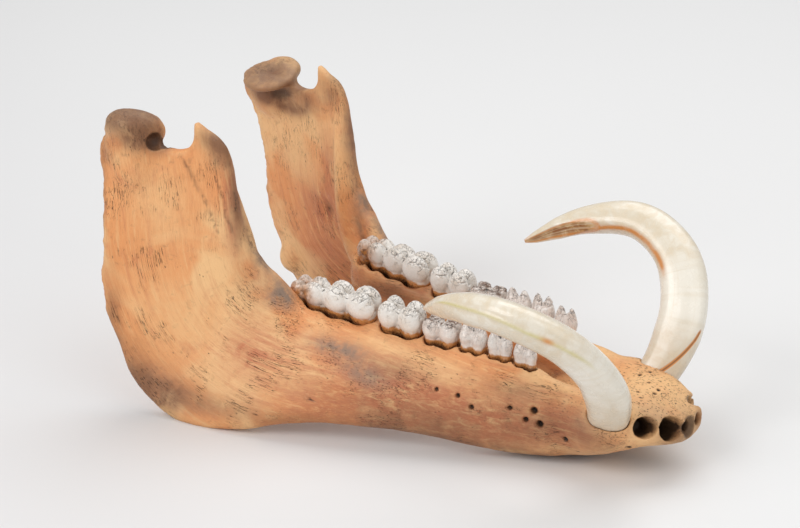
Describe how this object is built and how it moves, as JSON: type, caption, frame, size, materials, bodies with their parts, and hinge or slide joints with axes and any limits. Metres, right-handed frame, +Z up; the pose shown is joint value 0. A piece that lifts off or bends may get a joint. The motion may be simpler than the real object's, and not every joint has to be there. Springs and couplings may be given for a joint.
{
  "type": "boar jaw with tusks",
  "caption": "Lower jaw bone of a male wild boar, both halves fused at the chin, with its cheek teeth, two curling tusks and empty incisor sockets, for display or study",
  "frame": {"origin": "on the ground, under the middle of the part's bounding box; the jaw rests on the underside of the chin and on the angle of each half", "axes": "+X points along the jaw from the joints to the chin, which is the longest extent, +Y points to the animal's left and +Z points up, out of the cheek teeth's chewing faces"},
  "size_m": [0.2968, 0.156, 0.1538],
  "materials": {
    "bone": "satin",
    "tusk": "gloss",
    "tooth": "gloss"
  },
  "bodies": {
    "root": {"jaw_bone": "bone", "left_tusk": "tusk", "right_tusk": "tusk", "left_premolar_2": "tooth", "right_premolar_2": "tooth", "left_premolar_3": "tooth", "right_premolar_3": "tooth", "left_premolar_4": "tooth", "right_premolar_4": "tooth", "left_molar_1": "tooth", "right_molar_1": "tooth", "left_molar_2": "tooth", "right_molar_2": "tooth", "left_molar_3": "tooth", "right_molar_3": "tooth"}
  },
  "joints": []
}
